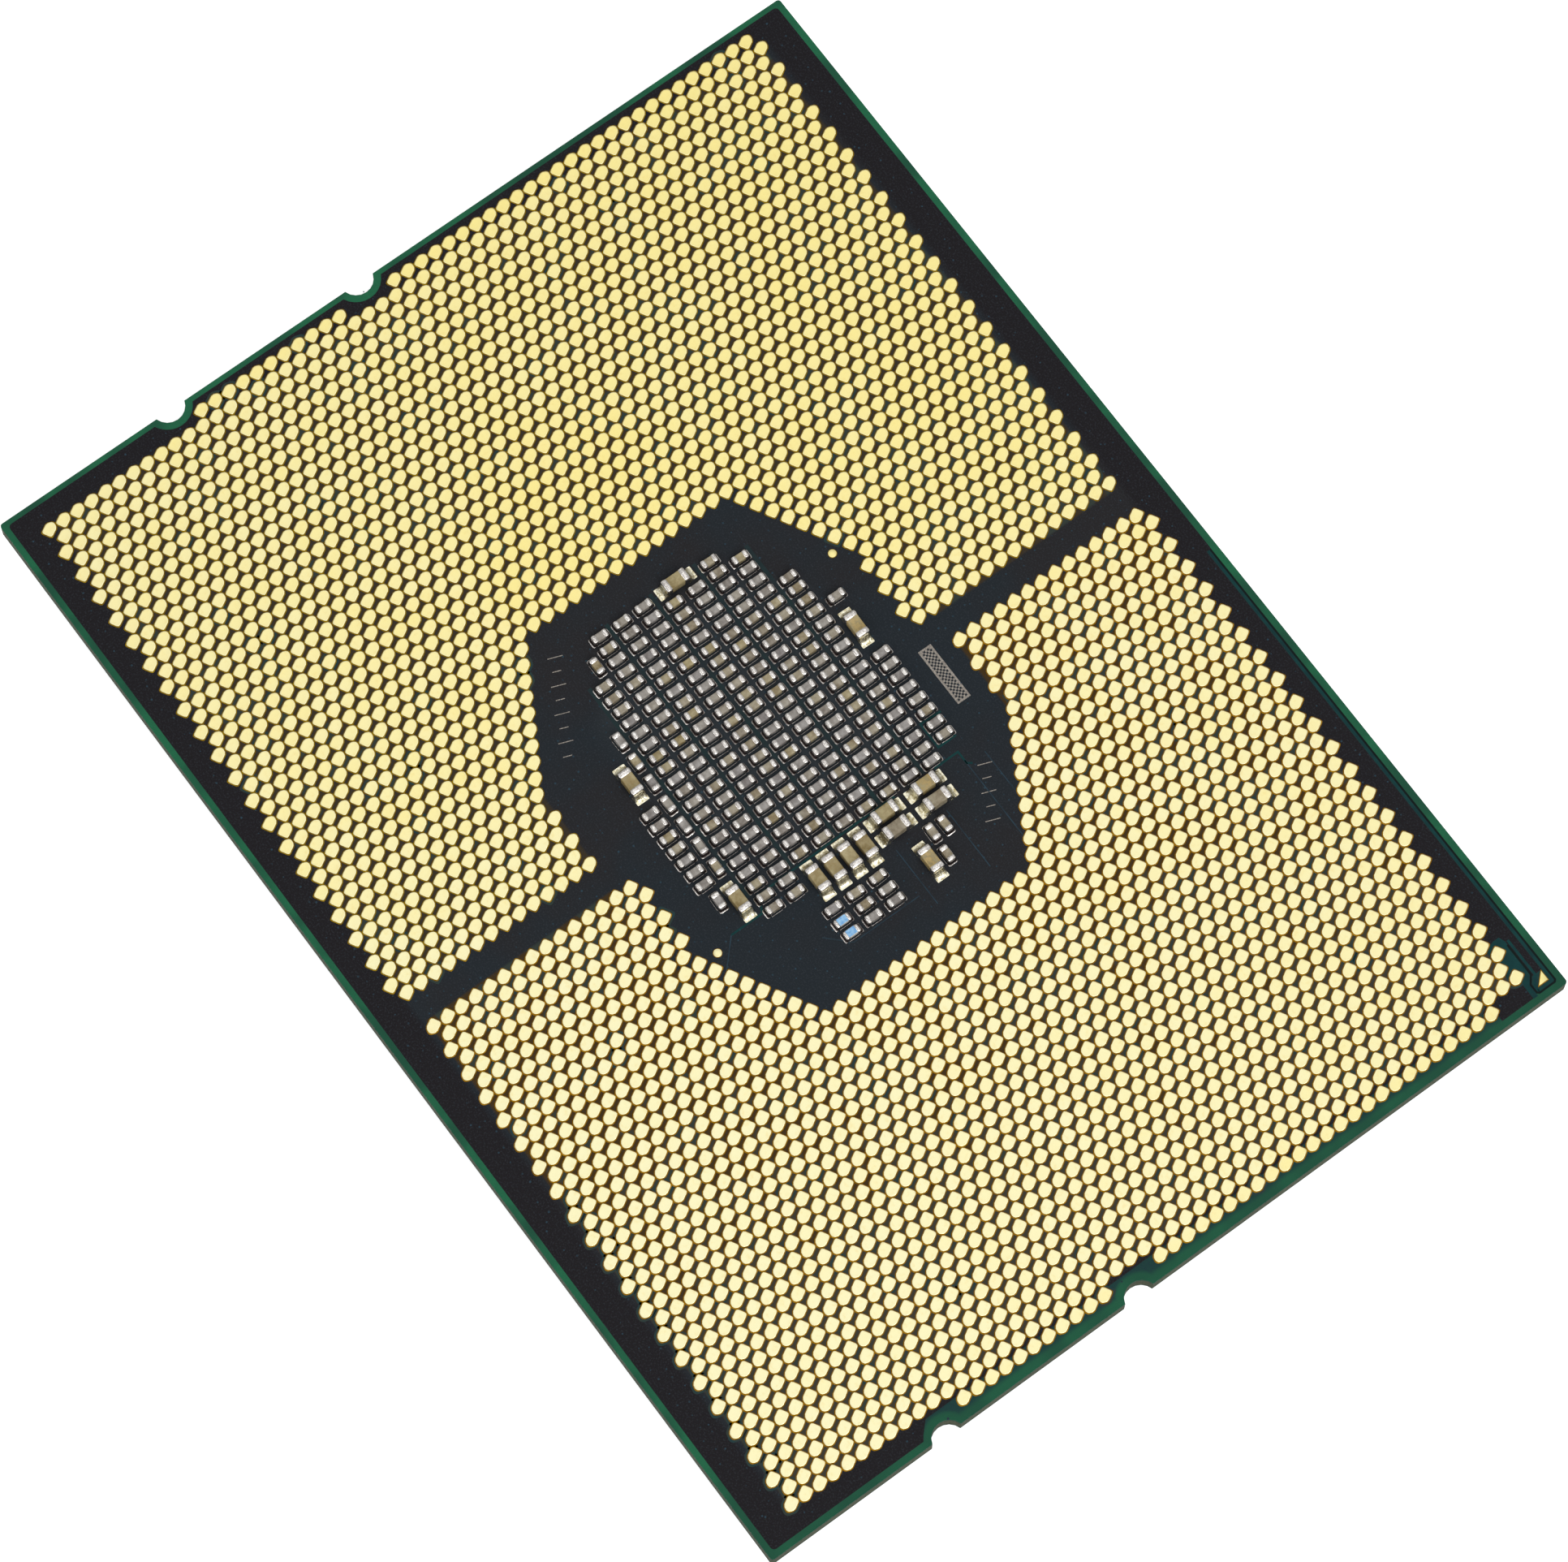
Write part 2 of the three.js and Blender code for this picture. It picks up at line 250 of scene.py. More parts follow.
def spotAt(x, y, centre, reach):
    # 1 at the centre, falling smoothly to 0 at reach
    dx = x - centre[0]
    dy = y - centre[1]
    squared = (dx * dx + dy * dy) / (reach * reach)
    return 1 - squared.soft(0.0, 1.0)


def landGold(look):
    finish = Finish("landGold")
    place = finish.place()
    tone = finish.tone()
    drift = finish.noise(place, 3.2, 2.0)
    # each land's shade mixes painted reflection with its own random tone and a slow random drift
    shade = paintedReflectionTint(finish, place, look) + (tone - 0.5) * 0.26 + (drift - 0.5) * 0.4
    platingAndReflection = finish.mix(shade.soft(0.0, 1.0), look["warm"], look["pale"])
    mottle = finish.noise(place, 0.3, 2.0).soft(0.5, 0.8) * 0.32
    spotted = finish.mix(mottle, platingAndReflection, look["spot"])
    # the raised rim of each land carries a tone above 1, which paints a pale highlight on it
    goldWithRimHighlight = finish.mix(tone.soft(1.0, 2.0), spotted, look["rim"])
    grain = finish.noise(place, 0.05, 3.0)
    dents = finish.noise(place, 0.3, 1.0)
    return finish.surface(
        Base_Color=goldWithRimHighlight,
        Metallic=1.0,
        Roughness=look["roughness"] + (grain - 0.5) * 0.12,
        Normal=finish.bump(grain * 0.35 + dents, 0.006, 0.5),
    )


def landEdgeGold(look):
    # the sloped sides of each land as flat brown painted shade instead of shining gold, a little apart
    # west and east, with cloudy patches of deeper painted shade
    finish = Finish("landEdgeGold")
    place = finish.place()
    x, _, _ = finish.axes(place)
    blend = finish.noise(place, 0.5, 2.0).soft(0.35, 0.75)
    bright = finish.mix(x.soft(-3.0, 3.0), look["edgeWest"], look["edgeEast"])
    rim = finish.mix(blend * 0.7, bright, look["edgeDark"])
    return finish.surface(Base_Color=rim, Roughness=0.5 + blend * 0.1, Specular_IOR_Level=0.08)


maskLook = {
    "green": rgb(28, 100, 67),
    "greenDark": rgb(22, 74, 54),
    "teal": rgb(16, 50, 52),
    "tealLight": rgb(18, 60, 60),
    "ring": rgb(34, 58, 60),
    "plane": rgb(37, 36, 38),
    "planeBlue": rgb(33, 39, 44),
    "planeRim": rgb(29, 27, 30),
    "speck": rgb(54, 58, 64),
    "bank": rgb(42, 48, 52),
    "fieldGrey": rgb(55, 47, 34),
    "fieldSlate": rgb(50, 58, 52),
    "fieldBrown": rgb(64, 47, 20),
    "fieldOlive": rgb(60, 57, 46),
    "marginGreen": 0.42,
    "tealReach": 0.75,
    "notchHeights": (-16.1, -2.55),
    "notchCentre": 0.28,
    "notchRadius": 1.03,
}


def notchDistance(x, y, height, look):
    # roughly how far a point is from the rim of a keying notch, close to it
    dx = abs(x) - (packageX + look["notchCentre"])
    dy = y - height
    radius = look["notchRadius"]
    return (dx * dx + dy * dy - radius * radius) / (2.2 * radius)


def greenMask(look):
    # bare laminate under the mask: green at the very edge, teal where it nears the copper
    finish = Finish("greenMask")
    place = finish.place()
    x, y, _ = finish.axes(place)
    inwards = (packageX - abs(x)).least(packageY - abs(y))
    for height in look["notchHeights"]:
        inwards = inwards.least(notchDistance(x, y, height, look))
    patches = finish.noise(place, 3.0, 2.0)
    green = finish.mix(patches.soft(0.35, 0.65), look["green"], look["greenDark"])
    darker = finish.mix(x.soft(30.0, 37.0) * 0.6, green, look["greenDark"])
    depth = inwards + (patches - 0.5) * 0.15
    shade = finish.mix(depth.soft(look["marginGreen"] * 0.8, look["tealReach"]), darker, look["teal"])
    weave = finish.noise(place, 0.12, 3.0)
    return finish.surface(
        Base_Color=finish.mix(weave.soft(0.3, 0.7) * 0.25, shade, look["greenDark"]),
        Roughness=0.38 + weave * 0.12,
        Specular_IOR_Level=0.14,
        Normal=finish.bump(weave, 0.004, 0.4),
    )


# Where the mask over the copper changes its cast, in millimetres from the package's centre.
maskPlaces = {
    "rimStart": (36.0, 25.6),
    "bankMiddle": -2.7,
    "bankHalfLength": 7.6,
    "bankHalfWidth": 7.2,
    "bankDiagonal": 11.8,
    "cavityHalfLength": 14.7,
    "cavityHalfWidth": 12.4,
    "cavitySlope": 0.577,
    "cavityDiagonal": 16.5,
    "fieldMargins": (2.0, 2.65),
    "middleGap": 1.2,
}


def planeMask(look, places):
    # mask over solid copper: near black in the open, with warm and slate patches among the lands
    finish = Finish("planeMask")
    place = finish.place()
    x, y, _ = finish.axes(place)
    cloud = finish.noise(place, 9.0, 3.0)
    middle = finish.mix(cloud.soft(0.35, 0.65), look["plane"], look["planeBlue"])
    rimX, rimY = places["rimStart"]
    outside = (abs(x) - rimX).most(abs(y) - rimY).soft(0.0, 0.6)
    bankX = abs(x - places["bankMiddle"])
    besideChips = (places["bankHalfLength"] - bankX).least(places["bankHalfWidth"] - abs(y))
    besideChips = besideChips.least(places["bankDiagonal"] - bankX - abs(y))
    supplied = finish.mix(besideChips.soft(-1.2, 1.2), middle, look["bank"])
    openPlane = finish.mix(outside, supplied, look["planeRim"])
    # the two land fields, outside the cavity's eight-sided opening and the margins
    slope = abs(y) + abs(x) * places["cavitySlope"] - places["cavityDiagonal"]
    beyondSides = (abs(y) - places["cavityHalfWidth"]).most(slope)
    beyondCavity = (abs(x) - places["cavityHalfLength"]).most(beyondSides)
    marginX, marginY = places["fieldMargins"]
    insideEdge = (packageX - marginX - abs(x)).least(packageY - marginY - abs(y))
    insideField = beyondCavity.least(insideEdge).least(abs(x) - places["middleGap"])
    field = insideField.soft(-0.1, 0.1)
    # the gaps between lands: neutral to the west, brown in the middle, olive grey to the east,
    # with slate ones gathered in the north
    cells = finish.noise(place, 1.5, 0.5)
    zones = finish.noise(place, 6.0, 1.0)
    north = y.soft(6.0, 26.0) * abs(x + 2).soft(34.0, 8.0)
    slateShare = (cells + (zones - 0.5) * 0.8 + north * 0.16).soft(0.64, 0.67)
    oliveShare = (cells + (zones - 0.5) * 0.6 + (x - 17) * 0.024).soft(0.5, 0.56)
    eastGap = finish.mix(oliveShare, look["fieldBrown"], look["fieldOlive"])
    neutral = finish.mix(x.soft(-3.0, 3.0), look["fieldGrey"], eastGap)
    between = finish.mix(slateShare, neutral, look["fieldSlate"])
    shade = finish.mix(field, openPlane, between)
    grain = finish.noise(place, 0.1, 3.0)
    return finish.surface(
        Base_Color=finish.mix(grain.soft(0.48, 0.72) * 0.5, shade, look["speck"]),
        Roughness=0.46 + grain * 0.16,
        Specular_IOR_Level=0.07,
        Normal=finish.bump(grain, 0.004, 0.5),
    )


def cloudedFinish(name, light, dark, size, roughness, gloss=0.5, edges=(0.3, 0.7), detail=2.0):
    # two near colours in soft clouds, sharper where the edges are close together
    finish = Finish(name)
    cloud = finish.noise(finish.place(), size, detail)
    return finish.surface(
        Base_Color=finish.mix(cloud.soft(*edges) if edges else cloud, light, dark),
        Roughness=roughness + cloud * 0.1,
        Specular_IOR_Level=gloss,
    )


chipLook = {
    "grey": rgb(112, 106, 103),
    "greyLight": rgb(158, 154, 150),
    "tan": rgb(126, 108, 66),
    "tanLight": rgb(168, 155, 116),
    "sand": rgb(180, 156, 102),
    "speck": rgb(84, 72, 62),
    "tin": rgb(246, 243, 238),
    "tinDull": rgb(170, 160, 154),
    # painted shade in the hollow of each solder joint
    "hollow": rgb(84, 70, 68),
    "cream": rgb(250, 245, 220),
    "creamDull": rgb(184, 170, 126),
}


def ceramicBody(name, look, tanStart, tanEnd):
    # tone picks between the two ceramics, chip by chip
    finish = Finish(name)
    place = finish.place()
    tone = finish.tone()
    cloud = finish.noise(place, 0.25, 2.0)
    share = cloud.soft(0.3, 0.7) * 0.5 + finish.noise(place, 1.1, 0.0).soft(0.3, 0.6) * 0.5
    grey = finish.mix(share, look["grey"], look["greyLight"])
    tan = finish.mix(share, look["tan"], look["tanLight"])
    small = finish.mix(tone.soft(tanStart, tanEnd), grey, tan)
    body = finish.mix(tone.soft(1.2, 1.7) * cloud.soft(0.62, 0.4), small, look["sand"])
    grain = finish.noise(place, 0.03, 3.0)
    return finish.surface(
        Base_Color=finish.mix(grain.soft(0.55, 0.75) * 0.45, body, look["speck"]),
        Roughness=0.42 + grain * 0.2,
        Specular_IOR_Level=0.4,
        Normal=finish.bump(grain, 0.004, 0.5),
    )


def tinPlate(look):
    finish = Finish("tinPlate")
    place = finish.place()
    crystals = finish.noise(place, 0.07, 3.0)
    swell = finish.noise(place, 0.22, 1.0)
    return finish.surface(
        Base_Color=finish.mix(crystals.soft(0.35, 0.75), look["tin"], look["tinDull"]),
        Metallic=1.0,
        Roughness=0.2 + crystals * 0.16,
        Normal=finish.bump(crystals * 0.3 + swell, 0.03, 0.6),
    )


def solderJoint(look):
    finish = Finish("solderJoint")
    place = finish.place()
    crystals = finish.noise(place, 0.09, 3.0)
    # tone 1 is the toe of a joint in plain solder colour, 0 its hollow in painted shade
    toe = finish.mix(crystals.soft(0.3, 0.7), look["tin"], look["tinDull"])
    return finish.surface(
        Base_Color=finish.mix(finish.tone().soft(0.0, 1.0), look["hollow"], toe),
        Metallic=0.95,
        Roughness=0.26 + crystals * 0.2,
        Normal=finish.bump(crystals, 0.03, 0.6),
    )


def creamSolder(look):
    # solder thinned with the gold of the wide pads
    finish = Finish("creamSolder")
    place = finish.place()
    crystals = finish.noise(place, 0.16, 3.0)
    return finish.surface(
        Base_Color=finish.mix(crystals.soft(0.4, 0.7), look["cream"], look["creamDull"]),
        Metallic=1.0,
        Roughness=0.22 + crystals * 0.18,
        Normal=finish.bump(crystals, 0.05, 0.8),
    )


def laminateWall(name, light, dark, layer):
    # glass cloth and resin seen on edge: thin level lines, broken up along their length
    finish = Finish(name)
    place = finish.place()
    plies = finish.noise(place, layer, 2.0, 0.6, (0.12, 0.12, 1.0))
    fibres = finish.noise(place, 0.18, 3.0)
    shade = finish.mix(plies.soft(0.4, 0.6), dark, light)
    return finish.surface(
        Base_Color=finish.mix(fibres.soft(0.5, 0.8) * 0.4, shade, dark),
        Roughness=0.65 + fibres * 0.2,
        Specular_IOR_Level=0.15,
        Normal=finish.bump(plies + fibres * 0.5, 0.01, 0.4),
    )


def nickelLid():
    # satin nickel over stamped copper, finely brushed along the length
    finish = Finish("nickelLid")
    place = finish.place()
    brushed = finish.noise(place, 0.35, 4.0, 0.6, (0.04, 1.0, 1.0))
    handled = finish.noise(place, 9.0, 3.0)
    shade = finish.mix(handled.soft(0.35, 0.7), rgb(196, 193, 186), rgb(172, 170, 165))
    return finish.surface(
        Base_Color=finish.mix(brushed.soft(0.4, 0.7) * 0.3, shade, rgb(150, 148, 144)),
        Metallic=1.0,
        Roughness=0.28 + handled * 0.12 + brushed * 0.08,
        Normal=finish.bump(brushed, 0.006, 0.4),
    )


def plainFinish(name, light, dark, size, roughness, metallic=0.0):
    # a quiet, slightly uneven surface for the pieces inside the lid
    finish = Finish(name)
    place = finish.place()
    cloud = finish.noise(place, size, 3.0)
    return finish.surface(
        Base_Color=finish.mix(cloud.soft(0.3, 0.7), light, dark),
        Metallic=metallic,
        Roughness=roughness + cloud * 0.12,
        Normal=finish.bump(cloud, size * 0.05, 0.4),
    )


finishes = {
    "gold": landGold(goldLook),
    "goldEdge": landEdgeGold(goldLook),
    "green": greenMask(maskLook),
    "plane": planeMask(maskLook, maskPlaces),
    "teal": cloudedFinish("tealMask", maskLook["teal"], maskLook["tealLight"], 0.8, 0.42, 0.08),
    "faint": cloudedFinish("faintMask", rgb(36, 48, 56), rgb(42, 62, 74), 1.2, 0.45, 0.08, (0.35, 0.65)),
    "ring": cloudedFinish("ringMask", maskLook["ring"], maskLook["fieldSlate"], 0.7, 0.44, 0.07),
    "stripe": cloudedFinish("stripeMask", rgb(38, 45, 49), rgb(32, 51, 52), 1.5, 0.46, 0.07, (0.2, 0.8)),
    "line": cloudedFinish("darkLine", rgb(13, 17, 19), rgb(20, 32, 30), 0.6, 0.5, 0.06, None),
    "etched": cloudedFinish(
        "etchedMark", rgb(112, 106, 100), rgb(168, 160, 150), 0.06, 0.7, 0.2, (0.3, 0.7), 3.0
    ),
    "ceramic": ceramicBody("ceramicBody", chipLook, 0.0, 1.1),
    "tin": tinPlate(chipLook),
    "solder": solderJoint(chipLook),
    "cream": creamSolder(chipLook),
    "film": cloudedFinish("resistorFilm", rgb(104, 160, 212), rgb(150, 196, 230), 0.2, 0.3),
    "alumina": cloudedFinish("alumina", rgb(214, 212, 206), rgb(180, 176, 168), 0.04, 0.5, 0.5, None, 3.0),
    "core": laminateWall("laminateCore", rgb(62, 68, 46), rgb(50, 56, 38), 0.1),
    "buildup": laminateWall("buildupLayers", rgb(30, 54, 38), rgb(24, 44, 32), 0.05),
    "nickel": nickelLid(),
    "sealant": plainFinish("lidSealant", rgb(40, 40, 42), rgb(26, 26, 28), 0.5, 0.55),
    "silicon": plainFinish("dieSilicon", rgb(74, 79, 88), rgb(60, 64, 74), 4.0, 0.12, 0.6),
    "indium": plainFinish("thermalMetal", rgb(168, 170, 174), rgb(140, 142, 146), 0.8, 0.4, 1.0),
    "epoxy": plainFinish("dieUnderfill", rgb(46, 52, 64), rgb(34, 38, 48), 0.6, 0.45),
    "bumps": plainFinish("solderBumps", rgb(190, 192, 194), rgb(150, 150, 150), 0.15, 0.3, 1.0),
    "ceramicPlain": plainFinish("hiddenCeramic", rgb(150, 134, 92), rgb(116, 100, 66), 0.3, 0.5),
}
print("finishes made:", len(finishes))

class Form:
    # the points and faces of one piece, in millimetres, with a tone for each point
    def __init__(self):
        self.points = []
        self.tones = []
        self.faces = []
        self.slots = []

    def loft(self, rings, slots, tone=0.5):
        # rings go round anticlockwise seen from the last one; slots hold a finish for the first
        # cap, each band and the last cap, or one for all
        if isinstance(slots, int):
            slots = [slots] * (len(rings) + 1)
        count = len(rings[0])
        first = len(self.points)
        tones = tone if isinstance(tone, list) else [tone] * len(rings)
        for ring, ringTone in zip(rings, tones):
            self.points.extend(ring)
            self.tones.extend([ringTone] * count)
        self.faces.append(tuple(first + i for i in reversed(range(count))))
        self.slots.append(slots[0])
        for level in range(len(rings) - 1):
            low = first + level * count
            for i in range(count):
                j = (i + 1) % count
                self.faces.append((low + i, low + j, low + count + j, low + count + i))
                self.slots.append(slots[level + 1])
        top = first + (len(rings) - 1) * count
        self.faces.append(tuple(top + i for i in range(count)))
        self.slots.append(slots[-1])

    def prism(self, outline, low, high, slots=0, tone=0.5):
        self.loft([level(outline, low), level(outline, high)], slots, tone)

    def piece(self, name, finishNames, smoothAngle=35):
        mesh = bpy.data.meshes.new(name)
        mesh.from_pydata([tuple(value * mm for value in point) for point in self.points], [], self.faces)
        for finishName in finishNames:
            mesh.materials.append(finishes[finishName])
        mesh.polygons.foreach_set("material_index", self.slots)
        mesh.polygons.foreach_set("use_smooth", [True] * len(self.faces))
        tones = mesh.attributes.new("tone", "FLOAT", "POINT")
        tones.data.foreach_set("value", self.tones)
        mesh.set_sharp_from_angle(angle=math.radians(smoothAngle))
        mesh.update()
        made = bpy.data.objects.new(name, mesh)
        bpy.context.scene.collection.objects.link(made)
        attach(made, "root")
        return made


def level(outline, height):
    return [(x, y, height) for x, y in outline]


def placed(outline, x, y, turn=0.0):
    c = math.cos(turn)
    s = math.sin(turn)
    return [(x + c * u - s * v, y + s * u + c * v) for u, v in outline]


def arc(x, y, radius, start, end, steps):
    # points on an arc, angles in degrees
    angles = [math.radians(start + (end - start) * i / steps) for i in range(steps + 1)]
    return [(x + radius * math.cos(a), y + radius * math.sin(a)) for a in angles]


def softened(corners):
    # each corner is x, y, how far along its sides the rounding starts, and its steps
    outline = []
    for i, (x, y, cut, steps) in enumerate(corners):
        corner = Vector((x, y))
        before = (Vector(corners[i - 1][:2]) - corner).normalized() * cut
        after = (Vector(corners[(i + 1) % len(corners)][:2]) - corner).normalized() * cut
        for step in range(steps + 1):
            share = step / steps
            point = corner + before * (1 - share) ** 2 + after * share ** 2
            outline.append((point.x, point.y))
    return outline


def roundedBox(sizeX, sizeY, radius, steps=2, x=0.0, y=0.0):
    # anticlockwise, from the east side's lower corner
    cornerX = sizeX / 2 - radius
    cornerY = sizeY / 2 - radius
    outline = []
    corners = [(1, -1, -90), (1, 1, 0), (-1, 1, 90), (-1, -1, 180)]
    for signX, signY, start in corners:
        outline += arc(x + signX * cornerX, y + signY * cornerY, radius, start, start + 90, steps)
    return outline


def ribbon(route, width):
    # an outline of the given width along a route, with mitred corners
    left = []
    right = []
    for i, (x, y) in enumerate(route):
        before = Vector(route[i]) - Vector(route[i - 1]) if i else None
        after = Vector(route[i + 1]) - Vector(route[i]) if i < len(route) - 1 else None
        before = (before or after).normalized()
        after = (after or before).normalized()
        along = (before + after).normalized()
        reach = width / 2 / max(along.dot(before), 0.3)
        across = Vector((-along.y, along.x)) * reach
        left.append((x + across.x, y + across.y))
        right.append((x - across.x, y - across.y))
    return right + left[::-1]


landLattice = {
    "columnSpacing": 0.8585,
    "halfPitch": 0.4953,
    "columns": 43,
    "middleRow": 52,
    "lastRow": 104,
    "shift": 0.2477,
    "shallowStop": 23,
    "deepStop": 25,
    "cavityColumns": 16,
    "slopeStop": 32,
    "westOuterRows": [(23, 43), (51, 103)],
    "eastOuterRows": [(23, 43), (51, 99)],
}

landShape = {
    "flatEnd": 0.494,
    "halfWidth": 0.397,
    "flatCut": 0.155,
    "shoulder": 0.236,
    "shoulderCut": 0.09,
    "tip": 0.614,
    "tipCut": 0.29,
    "height": 0.06,
    "shoulderRise": 0.62,  # share of the height
    "shoulderInset": 0.026,
    "crownInset": 0.062,
    "dishInset": 0.112,
    "dish": 0.002,
    "toneSpread": 0.16,
    "westTurn": 120,
    "eastTurn": -60,
}


def landPlaces(lattice, east):
    # columns along Y, every second one half a pitch out of step; the east field is the west one
    # turned by half a turn, so it only differs in its outermost column
    places = []
    middle = lattice["middleRow"]
    for column in range(1, lattice["columns"] + 1):
        outer = column == lattice["columns"]
        runs = lattice["eastOuterRows" if east else "westOuterRows"]
        slope = lattice["slopeStop"] - column
        for row in range(column % 2, lattice["lastRow"] + 1, 2):
            ownRow = 2 * middle - row if east else row
            if outer and not any(start <= row <= end for start, end in runs):
                continue
            if column <= lattice["cavityColumns"]:
                below = middle - ownRow >= min(lattice["deepStop"], slope)
                above = ownRow - middle >= min(lattice["shallowStop"], slope) and column > 1
                if not below and not above:
                    continue
            side = 1 if east else -1
            x = side * column * lattice["columnSpacing"]
            y = (row - middle) * lattice["halfPitch"] + side * lattice["shift"]
            places.append((x, y))
    return places


def landOutline(shape, inset):
    # a flat end with rounded corners at -u, straight sides, and a blunt rounded point at +u
    side = shape["halfWidth"] - inset
    flat = -shape["flatEnd"] + inset
    shoulder = shape["shoulder"] - inset * 0.41
    corners = [
        (flat, side, shape["flatCut"], 2),
        (flat, -side, shape["flatCut"], 2),
        (shoulder, -side, shape["shoulderCut"], 1),
        (shape["tip"] - inset * 1.45, 0.0, shape["tipCut"] * (1 - inset), 4),
        (shoulder, side, shape["shoulderCut"], 1),
    ]
    return softened(corners)


def landPiece(name, node, places, turn, shape):
    form = Form()
    pick = random.Random(name)
    shoulder = landPlane + shape["height"] * shape["shoulderRise"]
    crown = landPlane + shape["height"]
    profile = [(0.0, maskBase), (shape["shoulderInset"], shoulder), (shape["crownInset"], crown)]
    profile.append((shape["dishInset"], crown - shape["dish"]))
    outlines = [(placed(landOutline(shape, inset), 0, 0, math.radians(turn)), z) for inset, z in profile]
    for x, y in places:
        tone = min(max(pick.gauss(0.5, shape["toneSpread"]), 0.0), 1.0)
        rings = [level(placed(outline, x, y), height) for outline, height in outlines]
        # the crown ring's tone of 2 paints a pale highlight along the rim; slot 1, on the sides, takes the
        # brown painted shade of the land edges
        form.loft(rings, [1, 1, 1, 0, 0], [tone, tone, 2.0, tone])
    made = form.piece(name, ["gold", "goldEdge"], 60)
    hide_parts(node)


westPlaces = landPlaces(landLattice, False)
eastPlaces = landPlaces(landLattice, True)


def makeLands():
    for sideName, places, turn in [
        ("West", westPlaces, landShape["westTurn"]),
        ("East", eastPlaces, landShape["eastTurn"]),
    ]:
        node = f"land_field_{sideName.lower()}"
        north = [place for place in places if place[1] >= 0]
        south = [place for place in places if place[1] < 0]
        landPiece(f"lands{sideName}North", node, north, turn, landShape)
        landPiece(f"lands{sideName}South", node, south, turn, landShape)


makeLands()
print("lands made:", len(westPlaces), "west and", len(eastPlaces), "east")
landCells = {}
for landX, landY in westPlaces + eastPlaces:
    landCells.setdefault((round(landX), round(landY)), []).append((landX, landY))


def nearLand(x, y, reach):
    cellX = round(x)
    cellY = round(y)
    for i in range(cellX - 1, cellX + 2):
        for j in range(cellY - 1, cellY + 2):
            for landX, landY in landCells.get((i, j), []):
                if math.hypot(landX - x, landY - y) < reach:
                    return True
    return False


planeSetup = {
    "marginNorth": 0.42,
    "marginSouth": 0.38,
    "marginWest": 0.33,
    "marginEast": 0.41,
    "corner": 0.25,
    "notchHeights": maskLook["notchHeights"],
    "notchCentre": maskLook["notchCentre"],
    "notchRing": 1.48,
    "eastBare": (-15.55, 23.8),  # between these heights the east margin has no copper
    "eastBareX": 36.62,
    "eastStep": (36.5, 26.06),
    "northStep": 5.04,  # east of here the plane stops short, for the pin-one trace
    "northTrace": 27.5,
    "thickness": 0.006,
    "steps": 10,
}


def notchRingArc(setup, side, height, clip):
    # the ring of bare laminate round a keying notch, where it cuts into the plane
    centre = side * (packageX + setup["notchCentre"])
    edge = side * (packageX - clip)
    half = math.degrees(math.acos(abs(centre - edge) / setup["notchRing"]))
    if side < 0:
        return arc(centre, height, setup["notchRing"], half, -half, setup["steps"])
    return arc(centre, height, setup["notchRing"], 180 + half, 180 - half, setup["steps"])


def planeOutline(setup):
    west = -packageX + setup["marginWest"]
    east = packageX - setup["marginEast"]
    south = -packageY + setup["marginSouth"]
    north = packageY - setup["marginNorth"]
    r = setup["corner"]
    low, high = setup["eastBare"]
    outline = arc(east - r, south + r, r, -90, 0, 3)
    outline += notchRingArc(setup, 1, setup["notchHeights"][0], setup["marginEast"])[:2]
    outline += [(setup["eastBareX"], low - 1.0), (setup["eastBareX"], high)]
    stepX, stepY = setup["eastStep"]
    outline += [(east, high), (east, stepY), (stepX, stepY), (stepX, setup["northTrace"])]
    outline += [(setup["northStep"], setup["northTrace"]), (setup["northStep"], north)]
    outline += arc(west + r, north - r, r, 90, 180, 3)
    for height in reversed(setup["notchHeights"]):
        outline += notchRingArc(setup, -1, height, setup["marginWest"])
    outline += arc(west + r, south + r, r, 180, 270, 3)
    return outline


def makePlane(setup):
    form = Form()
    form.prism(planeOutline(setup), maskBase, landPlane + setup["thickness"])
    form.piece("copperPlaneUnderMask", ["plane"])


makePlane(planeSetup)

traceSetup = {
    "thickness": 0.0085,
    "lineThickness": 0.0105,
    "tealWidth": 0.17,
    "lineWidth": 0.12,
    "boxWidth": 0.13,
    "faintWidth": 0.06,
    "stripeWidth": 0.26,
    "stripeThickness": 0.0072,
    "stripeWestOverhang": 0.2,
    "stripeEastEnd": 6.2,
}

# The pin-one trace runs along the north edge, turns down round the triangle and doubles back.
pinTrace = [(5.04, 27.62), (37.39, 27.62), (37.39, 26.58)]
pinReturn = [(33.98, 27.02), (36.52, 27.02), (37.12, 26.54), (37.46, 26.54)]
pinLine = [
    (5.04, 27.765), (37.42, 27.765), (37.53, 27.66), (37.53, 26.56), (37.43, 26.44),
    (36.86, 26.44), (36.38, 26.83), (34.2, 26.83),
]
pinClearing = [
    (33.56, 26.3), (33.75, 25.6), (36.4, 25.6), (36.5, 26.14), (36.75, 26.07), (37.62, 26.07),
    (37.62, 26.37), (36.84, 26.37), (36.36, 26.76), (33.95, 26.86), (33.56, 26.7),
]

